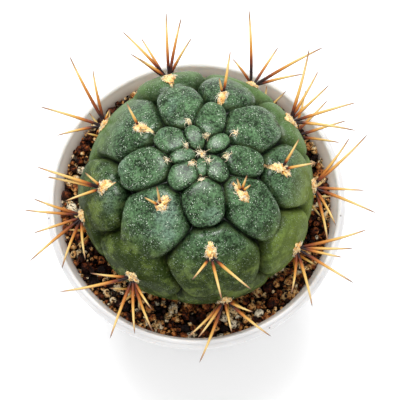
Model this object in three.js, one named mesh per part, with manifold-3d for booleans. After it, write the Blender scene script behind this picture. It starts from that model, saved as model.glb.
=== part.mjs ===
// A round cactus with nine ribs of pillow-shaped tubercles, growing in grit in a white plastic pot.
// Millimetres, +Z up. The origin is the middle of the pot's base, and headings run anticlockwise from +X.
import * as THREE from 'three';
import { mergeVertices } from 'three/addons/utils/BufferGeometryUtils.js';
import Module from 'manifold-3d';

const wasm = await Module();
wasm.setup();

// Gap kept between two pieces that touch
const GAP = 0.3;

// Pot
const POT_HEIGHT = 76;
const POT_FACETS = 45;
const RIM_RADIUS = 45;
const LIP_HEIGHT = 4.6;
const WALL_TOP_RADIUS = 43.3;
const BASE_RADIUS = 31;
const WALL = 1.5;
const FLOOR_TOP = 3.4;
const FOOT_HEIGHT = 1.4;
const DRAIN_HOLES = 6;
const DRAIN_RADIUS = 2.4;
const DRAIN_CIRCLE = 19.5;

// Soil and its grit
const SOIL_TOP = POT_HEIGHT - 6.5;
const GRIT_INNER = 26.5;
const GRIT_RINGS = 4;
const GRIT_PER_RING = 46;
const GRIT_CREVICE = 1;
const GRIT_STAND = 1.7;
const GRIT_TILT = 0.9;

// Plant
const PLANT_RADIUS = 35;
const PLANT_HALF_HEIGHT = 28.4;
const PLANT_CENTRE = [0.5, 0.8, POT_HEIGHT + 11.2];
const LEAN_DEG = 4.2;
const LEAN_HEADING_DEG = 50;
const RIB_COUNT = 9;
const CROWN_CREASE = 1.5;
const FLANK_CREASE = 4;
const LOW_CREASE = 3.2;
const MERGE_FROM = 49;
const MERGE_TO = 64;
const CROWN_DIMPLE = 1.6;
const CREASE_SHARPNESS = 5;
const ROOT_LENGTH = 24;
const ROOT_RADIUS = 8;
const SKIN_COLUMNS_PER_RIB = 7;
const SKIN_ROWS = 31;
const SKIN_SEEN_TO = 134;

// Felt and spines
const FELT = { length: 4.2, width: 3.2, height: 1.5 };
const TUFT = { length: 2.6, width: 1.9, height: 1.1 };
const CROWN_TUFT = { length: 3, width: 3, height: 1 };
const SPINE_RADIUS = 0.5;
const SPINE_ROOT_HEIGHT = 0.75;
const SPINE_ROOT_SPREAD = 0.55;
const SPINE_BOW = 0.06;
const MOST_LIFT = 12;

// Each rib's heading, the turn it gains per degree down, the polar angles of the creases that bound its
// tubercles from the crown to the soil, the polar angles of its areoles, how broad each tubercle is beside
// its even share, and how far in its flank is drawn.
const RIBS = {
  a: {
    heading: 268, turn: 0.16, creases: [2, 12, 38, 84, 113, 141], areoles: [14, 51, 94, 118],
    breadths: [1, 1.2, 1.25, 1.1, 1], drawnIn: 0,
  },
  b: {
    heading: 230, turn: 0.09, creases: [4, 23, 62, 98, 127, 152], areoles: [8, 32, 82, 110],
    breadths: [1, 1.2, 1.1, 1, 1], drawnIn: 0,
  },
  c: {
    heading: 189, turn: 0.09, creases: [3, 16, 46, 80, 108, 136], areoles: [19, 55, 88, 115],
    breadths: [1, 1, 1, 1, 1], drawnIn: 0,
  },
  d: {
    heading: 157, turn: -0.1, creases: [7, 26, 69, 95, 123, 150], areoles: [9, 34, 77, 108],
    breadths: [1, 1.1, 1, 1, 1], drawnIn: 2.2,
  },
  e: {
    heading: 114, turn: -0.1, creases: [3, 16, 51, 80, 109, 138], areoles: [19, 58, 88, 114],
    breadths: [1, 1, 0.8, 1, 1], drawnIn: 0.5,
  },
  f: {
    heading: 82, turn: -0.28, creases: [9, 31, 60, 90, 123, 150], areoles: [12, 36, 74, 106],
    breadths: [1, 1, 1, 1, 1], drawnIn: 0.8,
  },
  g: {
    heading: 35, turn: -0.04, creases: [4, 16, 53, 88, 112, 140], areoles: [20, 69, 97, 115],
    breadths: [1, 1, 1, 1, 1], drawnIn: 0.9,
  },
  h: {
    heading: 350, turn: 0.1, creases: [10, 33, 73, 100, 128, 152], areoles: [13, 41, 81, 110],
    breadths: [1, 1, 1, 1, 1], drawnIn: 1,
  },
  i: {
    heading: 310, turn: 0.18, creases: [3, 18, 58, 97, 126, 151], areoles: [6, 26, 82, 110],
    breadths: [1, 0.85, 0.85, 1, 1], drawnIn: 0,
  },
};
const DRAWN_IN = Object.values(RIBS).map((rib) => rib.drawnIn);

// Spines of each areole: the turn away from the rib's heading in degrees, then how far out and how far up
// the tip lies.
const SPINES = {
  a2: [[-42, 9, 1], [7, 13, 0], [41, 15, 2]],
  b2: [[-123, 4, 6], [-70, 5, 3], [150, 3, 3]],
  c2: [[-28, 19, 4], [-24, 16, 1], [8, 11, 0], [-50, 6, 3]],
  d2: [[-31, 7, 4], [155, 3, 5]],
  e2: [[31, 18, 6], [-15, 17, 9], [-31, 16, 8], [44, 10, 3]],
  f2: [[9, 12, 5], [38, 4, 4]],
  g2: [[44, 20, 9], [28, 15, 7], [8, 14, 6], [-20, 19, 5], [-42, 19, 1]],
  h2: [[63, 9, 5], [12, 10, 3], [-60, 4, 3]],
  i2: [[112, 4, 4], [160, 3, 4], [70, 3, 3]],
  a3: [[-35, 19, -4], [-58, 15, -2], [-47, 14, 1], [-2, 10, 1], [39, 17, -1], [50, 9, 2]],
  b3: [[-45, 21, 0], [-60, 12, 2], [13, 18, -4], [36, 16, -2], [55, 16, -4], [64, 11, 0]],
  c3: [[-20, 17, 2], [-33, 15, 3], [3, 15, -1], [24, 20, -3], [52, 16, -4], [78, 13, -1]],
  d3: [[-29, 21, 9], [-45, 15, 8], [18, 19.5, 3], [45, 14.5, 0], [-80, 4, 3]],
  e3: [[-48, 13, 7], [-14, 16, 2], [18, 15, 3], [46, 13, 5]],
  f3: [[33, 20.5, 10], [-37, 22.7, 8], [-51, 15.3, 3], [68, 9.5, 3], [-4, 14.8, 1]],
  g3: [[-42, 14, 2], [-14, 17, 1], [15, 15, 3], [44, 14, 4]],
  h3: [[53, 16.6, 7], [43, 20.7, 8], [-5, 15, 2], [-23, 20, 1], [-73, 17.2, -4], [-59, 13.5, -1]],
  i3: [[47, 20, 6], [34, 16, 2], [20, 13, 3], [3, 19, 0], [-40, 17, -3], [-62, 13, -3]],
};
const LOW_SPINES = [[-55, 9, 2], [-12, 9, 5], [30, 8, 4]];

const radians = THREE.MathUtils.degToRad;
const UP = new THREE.Vector3(0, 0, 1);

// Conversions between three.js geometry and solids
function toSolid(geometry) {
  const bare = geometry.index ? geometry.toNonIndexed() : geometry.clone();
  bare.deleteAttribute('normal');
  bare.deleteAttribute('uv');
  const merged = mergeVertices(bare, 1e-4);
  return new wasm.Manifold(new wasm.Mesh({
    numProp: 3,
    vertProperties: new Float32Array(merged.attributes.position.array),
    triVerts: new Uint32Array(merged.index.array),
  }));
}

function toGeometry(solid) {
  const mesh = solid.getMesh();
  const geometry = new THREE.BufferGeometry();
  geometry.setAttribute('position', new THREE.BufferAttribute(mesh.vertProperties, 3));
  geometry.setIndex(new THREE.BufferAttribute(mesh.triVerts, 1));
  return geometry;
}

// A cut can leave loose scraps: only the largest body is kept
function largestBody(solid) {
  return solid.decompose().reduce((best, body) => (body.volume() > best.volume() ? body : best));
}

function turned(profile, facets) {
  const points = profile.map(([radius, height]) => new THREE.Vector2(radius, height));
  return toSolid(new THREE.LatheGeometry(points, facets).rotateX(Math.PI / 2));
}

// The same draw every time, from 0 to 1
function seededDraw(seed) {
  let state = seed;
  return () => {
    state = (state * 1664525 + 1013904223) % 4294967296;
    return state / 4294967296;
  };
}

// Unit vector at a heading and a polar angle from straight up, in degrees
function direction(heading, polar) {
  return new THREE.Vector3().setFromSphericalCoords(1, radians(polar), 0)
    .applyAxisAngle(new THREE.Vector3(1, 0, 0), Math.PI / 2)
    .applyAxisAngle(UP, radians(heading + 90));
}

const ribHeading = (rib, polar) => rib.heading + rib.turn * polar;

// Every tubercle as a cell on the unit sphere: its middle, its down and sideways directions, its half sizes
function tubercleCells() {
  const cells = [];
  Object.values(RIBS).forEach((rib, ribIndex) => {
    rib.creases.slice(1).forEach((lower, step) => {
      const upper = rib.creases[step];
      const polar = (upper + lower) / 2;
      const heading = ribHeading(rib, polar);
      const halfLength = radians(lower - upper) / 2;
      const ribHalfWidth = Math.sin(radians(polar)) * Math.PI / RIB_COUNT;
      cells.push({
        ribIndex,
        middle: direction(heading, polar),
        down: direction(heading, polar + 90),
        side: direction(heading + 90, 90),
        halfLength,
        halfWidth: Math.max(ribHalfWidth, 0.75 * halfLength) * rib.breadths[step],
      });
    });
  });
  return cells;
}

const CELLS = tubercleCells();

// How far a tubercle stands up at a direction, 1 on its middle and 0 along a crease, and how far in the
// flank is drawn there. Older tubercles grow a chin below the areole, and low ones merge into one another
function swelling(unit, polar) {
  let total = 0;
  let nearest = Infinity;
  let best = 0;
  let chin = 0;
  const ribTotals = new Array(RIB_COUNT).fill(0);
  const offset = new THREE.Vector3();
  for (const cell of CELLS) {
    offset.subVectors(unit, cell.middle);
    const down = offset.dot(cell.down) / cell.halfLength;
    const side = offset.dot(cell.side) / cell.halfWidth;
    const through = offset.dot(cell.middle) / cell.halfLength;
    const distance = Math.max(Math.hypot(down, side, through), 0.02);
    const weight = distance ** -CREASE_SHARPNESS;
    total += weight;
    ribTotals[cell.ribIndex] += weight;
    if (distance < nearest) {
      nearest = distance;
      best = weight;
      chin = THREE.MathUtils.clamp(down, -1, 1);
    }
  }
  const pillow = (share) => Math.max(2 * share - 1, -0.25);
  const own = pillow(best / total);
  const ripe = THREE.MathUtils.smoothstep(polar, 40, 85);
  const merged = THREE.MathUtils.smoothstep(polar, MERGE_FROM, MERGE_TO);
  const rounded = THREE.MathUtils.lerp(own, pillow(Math.max(...ribTotals) / total), 0.9 * merged);
  const dome = THREE.MathUtils.lerp(1 - Math.min(nearest, 1.25) ** 2, Math.max(rounded, 0), 0.75 * merged);
  return {
    swell: 0.62 * rounded + 0.38 * dome + 0.12 * ripe * chin * Math.max(own, 0),
    drawnIn: ribTotals.reduce((sum, share, k) => sum + share * DRAWN_IN[k], 0) / total,
  };
}

// Point of the plant's skin, in the plant's own frame, raised by an allowance
function skinPoint(unit, allowance = 0) {
  const polar = THREE.MathUtils.radToDeg(unit.angleTo(UP));
  const buried = THREE.MathUtils.smoothstep(polar, 104, 128);
  const upper = THREE.MathUtils.lerp(CROWN_CREASE, FLANK_CREASE, THREE.MathUtils.smoothstep(polar, 5, 50));
  const crease = THREE.MathUtils.lerp(upper, LOW_CREASE, THREE.MathUtils.smoothstep(polar, 60, 84));
  const dimple = CROWN_DIMPLE * Math.exp(-((polar / 9) ** 2));
  const { swell, drawnIn } = swelling(unit, polar);
  const depth = crease * (1 - buried) * (1 - swell) + dimple
    + drawnIn * THREE.MathUtils.smoothstep(polar, 30, 75);
  const scale = 1 - depth / PLANT_RADIUS;
  const point = new THREE.Vector3(
    unit.x * PLANT_RADIUS * scale,
    unit.y * PLANT_RADIUS * scale,
    unit.z * PLANT_HALF_HEIGHT * scale,
  );
  return point.addScaledVector(point.clone().normalize(), allowance);
}

// Heading of a line on the skin, counted in ribs, so that the creases between ribs lie at the halves
function lineHeading(line, polar) {
  const ribs = Object.values(RIBS).map((rib) => ribHeading(rib, polar));
  const before = ribs[Math.floor(line) % RIB_COUNT];
  const after = ribs[(Math.floor(line) + 1) % RIB_COUNT];
  const step = THREE.MathUtils.euclideanModulo(after - before + 180, 360) - 180;
  return before + step * (line % 1);
}

// Skin as a closed solid, its faces in columns that follow the ribs and in rows that close up at the crown
function skinSolid(allowance) {
  const columns = RIB_COUNT * SKIN_COLUMNS_PER_RIB;
  const rows = Array.from({ length: SKIN_ROWS }, (_, j) => SKIN_SEEN_TO * (j / (SKIN_ROWS - 1)) ** 1.25);
  rows.push(150, 166, 180);
  const geometry = new THREE.SphereGeometry(1, columns, rows.length - 1);
  const place = geometry.attributes.position;
  for (let k = 0; k < place.count; k += 1) {
    const row = Math.floor(k / (columns + 1));
    const column = (k % (columns + 1)) % columns;
    const line = RIB_COUNT - (column + 0.5) / SKIN_COLUMNS_PER_RIB;
    const atPole = row === 0 || row === rows.length - 1;
    const unit = direction(atPole ? 0 : lineHeading(line, rows[row]), rows[row]);
    const point = skinPoint(unit, allowance);
    place.setXYZ(k, point.x, point.y, point.z);
  }
  return toSolid(geometry);
}

// Taproot, with its sides moved out by an allowance. Its top is sunk into the body above it
function rootSolid(allowance) {
  const neck = -PLANT_HALF_HEIGHT;
  return turned([
    [0, neck - ROOT_LENGTH - allowance],
    [ROOT_RADIUS * 0.3 + allowance, neck - ROOT_LENGTH - allowance],
    [ROOT_RADIUS * 0.65 + allowance, neck - ROOT_LENGTH * 0.55],
    [ROOT_RADIUS + allowance, neck],
    [ROOT_RADIUS + allowance, neck + 4],
    [0, neck + 4],
  ], 12);
}

// A smooth hollow in the soil for the plant, its flat faces all clear of the skin
function socketSolid() {
  const slack = GAP + 0.35;
  const shape = new THREE.SphereGeometry(1, 30, 18).rotateX(Math.PI / 2);
  shape.scale(PLANT_RADIUS + slack, PLANT_RADIUS + slack, PLANT_HALF_HEIGHT + slack);
  return toSolid(shape).add(rootSolid(GAP));
}

// Place of an areole on the skin, with the outward normal and the way down the rib there
function areoleSeat(rib, polar) {
  const heading = ribHeading(rib, polar);
  const stepDown = 2.5;
  const stepAcross = stepDown / Math.sin(radians(polar));
  const at = (h, p) => skinPoint(direction(h, p));
  const across = at(heading + stepAcross, polar).sub(at(heading - stepAcross, polar));
  const along = at(heading, polar + stepDown).sub(at(heading, polar - stepDown)).normalize();
  const normal = along.clone().cross(across).normalize();
  return { heading, point: at(heading, polar), normal, along };
}

// Felt cushion of an areole, longer down the rib than across it
function feltSolid(seat, { length, width, height }, detail) {
  const side = new THREE.Vector3().crossVectors(seat.normal, seat.along).normalize();
  const along = new THREE.Vector3().crossVectors(side, seat.normal);
  const frame = new THREE.Matrix4().makeBasis(along, side, seat.normal).setPosition(seat.point);
  const cushion = new THREE.IcosahedronGeometry(1, detail);
  cushion.scale(length / 2, width / 2, height).translate(0, 0, height * 0.15).applyMatrix4(frame);
  return toSolid(cushion);
}

// Awl-shaped spine, from its root inside the felt to its tip, bowed a little towards the outside
function spineSolid(root, tip, normal, radius) {
  const chord = new THREE.Vector3().subVectors(tip, root);
  const length = chord.length();
  const middle = root.clone().lerp(tip, 0.5).addScaledVector(normal, length * SPINE_BOW);
  const path = new THREE.QuadraticBezierCurve3(root, middle, tip);
  const turn = new THREE.Quaternion().setFromUnitVectors(new THREE.Vector3(0, 1, 0), chord.normalize());
  const spine = new THREE.ConeGeometry(1, 1, 3, 2);
  const place = spine.attributes.position;
  for (let k = 0; k < place.count; k += 1) {
    const share = place.getY(k) + 0.5;
    const fullness = radius * Math.max(1 - share, 1e-3) ** -0.3;
    const section = new THREE.Vector3(place.getX(k), 0, place.getZ(k)).multiplyScalar(fullness);
    const point = path.getPoint(share).add(section.applyQuaternion(turn));
    place.setXYZ(k, point.x, point.y, point.z);
  }
  return toSolid(spine);
}

// True where a spine stands clear of the skin and of everything around the plant
function standsClear(spine, keepOut, obstacles) {
  const left = spine.subtract(keepOut);
  const whole = left.decompose().length === 1 && left.volume() > 0.8 * spine.volume();
  return whole && obstacles.every((other) => other.intersect(spine).volume() < 1e-6);
}

// One spine with its root in the felt. It is lifted until it is clear of everything, or left out
function placedSpine(seat, [turnAway, reach, rise], keepOut, obstacles) {
  for (let lift = 0; lift < MOST_LIFT; lift += 1) {
    const away = direction(seat.heading + turnAway, 90).multiplyScalar(reach);
    away.z = rise + lift;
    const spread = away.clone().projectOnPlane(seat.normal).setLength(SPINE_ROOT_SPREAD);
    const root = seat.point.clone().addScaledVector(seat.normal, SPINE_ROOT_HEIGHT).add(spread);
    const tip = seat.point.clone().add(away);
    const radius = SPINE_RADIUS * THREE.MathUtils.mapLinear(away.length(), 6, 24, 0.72, 1.05);
    const broad = spineSolid(root, tip, seat.normal, radius + GAP);
    if (standsClear(broad, keepOut, obstacles)) return [spineSolid(root, tip, seat.normal, radius)];
  }
  return [];
}

function areoleSolid(seat, spines, keepOut, obstacles) {
  const felt = feltSolid(seat, FELT, spines === LOW_SPINES ? 0 : 1);
  const cluster = spines.flatMap((spine) => placedSpine(seat, spine, keepOut, obstacles))
    .reduce((sum, spine) => sum.add(spine), felt);
  return largestBody(cluster.subtract(keepOut));
}

// Pot: a tapered cup with a stepped lip, and drain holes in the raised ring of its base
function potSolid() {
  const lipFoot = POT_HEIGHT - LIP_HEIGHT;
  const base = [
    [0, 0], [12, 0], [13, FOOT_HEIGHT], [26, FOOT_HEIGHT], [27, 0],
    [BASE_RADIUS - 1.2, 0], [BASE_RADIUS, 1.2],
  ];
  const lip = [
    [WALL_TOP_RADIUS, lipFoot],
    [RIM_RADIUS - 0.4, lipFoot + 0.3], [RIM_RADIUS, lipFoot + 0.8],
    [RIM_RADIUS, POT_HEIGHT - 1.7], [RIM_RADIUS - 0.4, POT_HEIGHT - 1.2],
    [RIM_RADIUS - 0.9, POT_HEIGHT - 1.1], [RIM_RADIUS - 1.1, POT_HEIGHT - 0.4],
    [RIM_RADIUS - 1.5, POT_HEIGHT], [RIM_RADIUS - 2, POT_HEIGHT - 0.2], [RIM_RADIUS - 2.3, POT_HEIGHT - 1],
  ];
  const inside = [[wallRadius(lipFoot), lipFoot], [wallRadius(FLOOR_TOP), FLOOR_TOP], [0, FLOOR_TOP]];
  let pot = turned([...base, ...lip, ...inside], POT_FACETS);
  for (let k = 0; k < DRAIN_HOLES; k += 1) {
    const hole = new THREE.CylinderGeometry(DRAIN_RADIUS, DRAIN_RADIUS, 10, 8).rotateX(Math.PI / 2);
    hole.translate(DRAIN_CIRCLE, 0, FLOOR_TOP).rotateZ((k + 0.5) * 2 * Math.PI / DRAIN_HOLES);
    pot = pot.subtract(toSolid(hole));
  }
  return pot;
}

// Radius of the pot's inner wall at a height below its lip
const wallRadius = (height) => THREE.MathUtils.mapLinear(
  height, FLOOR_TOP, POT_HEIGHT - LIP_HEIGHT, BASE_RADIUS + 0.4 - WALL, WALL_TOP_RADIUS - WALL);

// Soil: fills the pot. Round the plant its top is a bed of angular grains, laid in rings like bricks,
// each with six sloping sides and a tilted top
function soilSolid(plantMatrix) {
  const draw = seededDraw(7);
  const either = (most) => most * (2 * draw() - 1);
  const corners = 2 * GRIT_PER_RING;
  const outer = wallRadius(SOIL_TOP) - GAP;
  const bottom = FLOOR_TOP + GAP;
  const points = [];
  const faces = [];
  const addPoint = (radius, step, height) => {
    const point = new THREE.Vector3(radius, 0, height);
    return points.push(point.applyAxisAngle(UP, step * Math.PI / GRIT_PER_RING)) - 1;
  };
  const addFan = (ring) => ring.slice(2).forEach((index, k) => faces.push(ring[0], ring[k + 1], index));
  const addBand = (lower, upper) => lower.forEach((index, k) => {
    const next = (k + 1) % lower.length;
    faces.push(index, lower[next], upper[next], index, upper[next], upper[k]);
  });

  const circles = Array.from({ length: GRIT_RINGS + 1 }, (_, ring) => {
    const loose = ring === 0 || ring === GRIT_RINGS ? 0 : 1;
    return Array.from({ length: corners }, (__, k) => addPoint(
      THREE.MathUtils.lerp(GRIT_INNER, outer, (ring + either(0.3) * loose) / GRIT_RINGS),
      k + either(0.45) * loose,
      SOIL_TOP - GRIT_CREVICE * (0.5 + 0.5 * draw()),
    ));
  });
  for (let ring = 0; ring < GRIT_RINGS; ring += 1) {
    for (let k = ring % 2; k < corners; k += 2) {
      const steps = [k, (k + 1) % corners, (k + 2) % corners];
      const near = steps.map((step) => circles[ring][step]).reverse();
      const far = steps.map((step) => circles[ring + 1][step]);
      const foot = [...near, ...far];
      const middle = new THREE.Vector3();
      foot.forEach((index) => middle.addScaledVector(points[index], 1 / foot.length));
      const stand = SOIL_TOP - middle.z + GRIT_STAND * (0.1 + draw());
      const tilt = new THREE.Vector3(either(0.5), either(0.5), 0).multiplyScalar(GRIT_TILT);
      const shrink = 0.55 + 0.2 * draw();
      const top = foot.map((index) => {
        const corner = points[index].clone().sub(middle).multiplyScalar(shrink);
        corner.z = stand + tilt.dot(corner);
        return points.push(corner.add(middle)) - 1;
      });
      addBand(foot, top);
      addFan(top);
    }
  }
  const foot = circles[0].map((_, k) => addPoint(wallRadius(bottom) - GAP, k, bottom));
  addFan([...foot].reverse());
  addBand(foot, circles[GRIT_RINGS]);
  addFan(circles[0]);

  const bed = toSolid(new THREE.BufferGeometry().setFromPoints(points).setIndex(faces));
  return largestBody(bed.subtract(socketSolid().transform(plantMatrix.elements)));
}

// Materials
const finish = (color, roughness) => new THREE.MeshStandardMaterial({ color, roughness, metalness: 0 });
const POT_WHITE = finish(0xeeeef0, 0.35);
const SOIL_BROWN = finish(0x4a2c1a, 0.95);
const SKIN_GREEN = finish(0x3c5a3a, 0.6);
const SPINE_GOLD = finish(0xd09238, 0.45);
const WOOL_CREAM = finish(0xe8cfa0, 0.95);

function named(name, solid, material) {
  const mesh = new THREE.Mesh(toGeometry(solid), material);
  mesh.name = name;
  return mesh;
}

// The plant leans a little, so it is built upright and its group is turned
function plantGroup() {
  const plant = new THREE.Group();
  plant.position.set(...PLANT_CENTRE);
  plant.quaternion.setFromAxisAngle(direction(LEAN_HEADING_DEG + 90, 90), radians(LEAN_DEG));
  plant.updateMatrix();
  return plant;
}

// Everything under the highest grain, which no felt or spine reaches into
function bedSpace(soil) {
  const bottom = SOIL_TOP - 5;
  const top = soil.boundingBox().max[2] + GAP;
  return turned([[0, bottom], [RIM_RADIUS, bottom], [RIM_RADIUS, top], [0, top]], POT_FACETS);
}

// Areoles of every rib: a tuft on the youngest tubercle and felt with spines on the older ones
function addAreoles(plant, keepOut, obstacles) {
  for (const [letter, rib] of Object.entries(RIBS)) {
    rib.areoles.forEach((polar, step) => {
      const place = `${letter}${step + 1}`;
      const seat = areoleSeat(rib, polar);
      if (step === 0) {
        const tuft = feltSolid(seat, TUFT, 0).subtract(keepOut);
        plant.add(named(`wool_tuft_${place}`, largestBody(tuft), WOOL_CREAM));
      } else {
        const areole = areoleSolid(seat, SPINES[place] ?? LOW_SPINES, keepOut, obstacles);
        obstacles.push(areole);
        plant.add(named(`areole_${place}`, areole, SPINE_GOLD));
      }
    });
  }
  const crownTop = skinPoint(UP).addScaledVector(UP, GAP + CROWN_TUFT.height);
  const crown = { point: crownTop, normal: UP, along: new THREE.Vector3(1, 0, 0) };
  plant.add(named('crown_wool', feltSolid(crown, CROWN_TUFT, 0), WOOL_CREAM));
}

const pottedCactus = new THREE.Group();
const plant = plantGroup();
const pot = potSolid();
const soil = soilSolid(plant.matrix);
const intoPlant = plant.matrix.clone().invert().elements;
const keepOut = skinSolid(GAP).add(bedSpace(soil).transform(intoPlant));
plant.add(named('cactus_body', skinSolid(0).add(rootSolid(0)), SKIN_GREEN));
addAreoles(plant, keepOut, [pot.transform(intoPlant)]);
pottedCactus.add(plant, named('pot', pot, POT_WHITE), named('soil', soil, SOIL_BROWN));

export default pottedCactus;
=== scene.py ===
import math
import random

import bpy
import numpy as np
from mathutils import Matrix, Quaternion, Vector, noise


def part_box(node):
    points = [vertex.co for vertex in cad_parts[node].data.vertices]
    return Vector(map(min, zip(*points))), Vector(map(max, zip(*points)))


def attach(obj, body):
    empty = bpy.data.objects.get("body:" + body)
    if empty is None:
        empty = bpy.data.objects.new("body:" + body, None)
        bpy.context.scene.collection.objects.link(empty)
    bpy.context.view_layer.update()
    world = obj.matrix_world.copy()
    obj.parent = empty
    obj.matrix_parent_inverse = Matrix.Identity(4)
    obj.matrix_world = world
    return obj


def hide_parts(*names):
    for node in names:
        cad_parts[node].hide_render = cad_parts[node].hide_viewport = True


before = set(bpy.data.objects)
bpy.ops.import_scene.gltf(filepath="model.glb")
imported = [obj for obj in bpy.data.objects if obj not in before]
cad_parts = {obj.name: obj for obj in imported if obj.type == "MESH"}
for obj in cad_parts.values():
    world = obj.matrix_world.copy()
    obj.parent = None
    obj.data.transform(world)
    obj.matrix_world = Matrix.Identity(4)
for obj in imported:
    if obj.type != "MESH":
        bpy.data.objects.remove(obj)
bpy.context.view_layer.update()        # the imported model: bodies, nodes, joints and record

mm = 0.001
scene = bpy.context.scene

# Where the photograph was taken from
view = dict(
    azimuth=0,
    elevation=74,
    distance=0.45,
    lens=135.2,
    sensor=36,
    nearest=0.01,
    target=(0.00124, -0.0003, 0.076),
)

# The plant: the same body as the frame's, made finer
plant = dict(
    centre=(0.0005, 0.0008, 0.0872),
    radius=0.035,
    halfHeight=0.0284,
    lean=4.2,
    leanHeading=50,
    ribCount=9,
    # how deep the creases are round the crown, on the flank and low down
    creases=(0.0015, 0.004, 0.0032),
    crownDimple=0.0016,
    dimpleWidth=9,
    # polar angles, in degrees down from the crown, over which the flank's and the low creases begin, the
    # tubercles of a rib merge, the older ones grow a chin, and the flank is drawn in or goes into the soil
    flankAt=(5, 50),
    lowAt=(60, 84),
    mergeAt=(49, 64),
    ripeAt=(40, 85),
    drawnInAt=(30, 75),
    buriedAt=(104, 128),
    # what a tubercle's form is made of, and how far its pillow and its dome merge into the rib's
    pillowShare=0.62,
    domeShare=0.38,
    chinShare=0.12,
    pillowMerge=0.9,
    domeMerge=0.75,
    creaseBottom=-0.25,
    leastBreadth=0.75,
    # how sharp the creases are on the frame's body, and on this finer one
    frameSharpness=5,
    creaseSharpness=8,
    bulge=1.5,
    seamDepth=0.0009,
    seamWidth=0.13,
    seamAt=(2, 16),
    # grooves from a crease down to the areole below it: rib, polar angles of both ends, how deep
    notches=[
        ("a", 37, 49, 0.0008), ("c", 44, 55, 0.0011), ("d", 25, 34, 0.0004), ("e", 50, 57, 0.0007),
        ("f", 30, 35, 0.0005), ("g", 51, 68, 0.0013), ("h", 32, 40, 0.0006),
    ],
    notchWidth=0.0009,
    notchFade=0.6,
    # unevenness of the skin: scale and height
    wobble=[(110, 0.00022)],
    rootRadius=0.008,
    rootLength=0.024,
    rootFrom=150,
    # the mesh: most of its rows lie above the polar angle down to which the skin can be seen
    columns=352,
    rows=272,
    seenTo=136,
    seenRows=0.88,
    rowSpread=1.12,
)

# Each rib's heading in degrees from +X, the turn it gains per degree down, the polar angles of the creases
# that bound its tubercles, the polar angles of its areoles, how much broader than their share some of its
# tubercles are, counted from the crown, and how far in its flank is drawn, in millimetres
ribs = {
    "a": dict(heading=268, turn=0.16, creases=[2, 12, 38, 84, 113, 141], areoles=[14, 51, 94, 118],
              breadths={1: 1.2, 2: 1.25, 3: 1.1}),
    "b": dict(heading=230, turn=0.09, creases=[4, 23, 62, 98, 127, 152], areoles=[8, 32, 82, 110],
              breadths={1: 1.2, 2: 1.1}),
    "c": dict(heading=189, turn=0.09, creases=[3, 16, 46, 80, 108, 136], areoles=[19, 55, 88, 115]),
    "d": dict(heading=157, turn=-0.1, creases=[7, 26, 69, 95, 123, 150], areoles=[9, 34, 77, 108],
              breadths={1: 1.1}, drawnIn=2.2),
    "e": dict(heading=114, turn=-0.1, creases=[3, 16, 48, 80, 109, 138], areoles=[19, 58, 88, 114],
              breadths={2: 0.8}, drawnIn=0.5),
    "f": dict(heading=82, turn=-0.28, creases=[9, 31, 60, 90, 123, 150], areoles=[12, 36, 74, 106],
              drawnIn=0.8),
    "g": dict(heading=35, turn=-0.04, creases=[4, 16, 53, 88, 112, 140], areoles=[20, 69, 97, 115],
              drawnIn=0.9),
    "h": dict(heading=350, turn=0.1, creases=[10, 33, 73, 100, 128, 152], areoles=[13, 41, 81, 110],
              drawnIn=1.0),
    "i": dict(heading=310, turn=0.18, creases=[3, 18, 58, 97, 126, 151], areoles=[6, 26, 82, 110],
              breadths={1: 0.85, 2: 0.85}),
}

# Each areole's spines: the turn away from the rib's heading in degrees, then how far out the tip lies, in
# millimetres. How high it lies is read from the frame.
spineTips = {
    "a2": [(-42, 9), (7, 13), (41, 15)],
    "b2": [(-123, 4), (-70, 5), (150, 3)],
    "c2": [(-28, 19), (-24, 16), (8, 11), (-50, 6)],
    "d2": [(-31, 7), (155, 3)],
    "e2": [(31, 18), (-15, 17), (-31, 16), (44, 10)],
    "f2": [(9, 12), (38, 4)],
    "g2": [(44, 20), (28, 15), (8, 14), (-20, 19), (-42, 19)],
    "h2": [(63, 9), (12, 10), (-60, 4)],
    "i2": [(112, 4), (160, 3), (70, 3)],
    "a3": [(-35, 19), (-58, 15), (-47, 14), (-2, 10), (39, 17), (50, 9)],
    "b3": [(-45, 21), (-60, 12), (13, 18), (36, 16), (55, 16), (64, 11)],
    "c3": [(-20, 17), (-33, 15), (3, 15), (24, 20), (52, 16), (78, 13)],
    "d3": [(-29, 21), (-45, 15), (18, 19.5), (45, 14.5), (-80, 4)],
    "e3": [(-48, 13), (-14, 16), (18, 15), (46, 13)],
    "f3": [(33, 20.5), (-37, 22.7), (-51, 15.3), (68, 9.5), (-4, 14.8)],
    "g3": [(-42, 14), (-14, 17), (15, 15), (44, 14)],
    "h3": [(53, 16.6), (43, 20.7), (-5, 15), (-23, 20), (-73, 17.2), (-59, 13.5)],
    "i3": [(47, 20), (34, 16), (20, 13), (3, 19), (-40, 17), (-62, 13)],
}
lowSpineTips = [(-55, 9), (-12, 9), (30, 8)]

# From the plant's own frame to the world's: it leans round a level axis square to its lean
leanAxis = math.radians(plant["leanHeading"] + 90)
plantMatrix = Matrix.Translation(plant["centre"]) @ Matrix.Rotation(
    math.radians(plant["lean"]), 4, Vector((math.cos(leanAxis), math.sin(leanAxis), 0)))


# Small helpers for working in the viewport's way

def clearSelection():
    if bpy.context.object and bpy.context.mode != "OBJECT":
        bpy.ops.object.mode_set(mode="OBJECT")
    bpy.ops.object.select_all(action="DESELECT")


def makeActive(piece):
    clearSelection()
    piece.select_set(True)
    bpy.context.view_layer.objects.active = piece


def takeNew(name):
    piece = bpy.context.object
    piece.name = name
    piece.data.name = name
    return piece


def applyPlace(piece):
    makeActive(piece)
    bpy.ops.object.transform_apply(location=True, rotation=True, scale=True)


def startEditing(piece):
    makeActive(piece)
    bpy.ops.object.mode_set(mode="EDIT")
    bpy.ops.mesh.select_all(action="SELECT")


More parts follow.
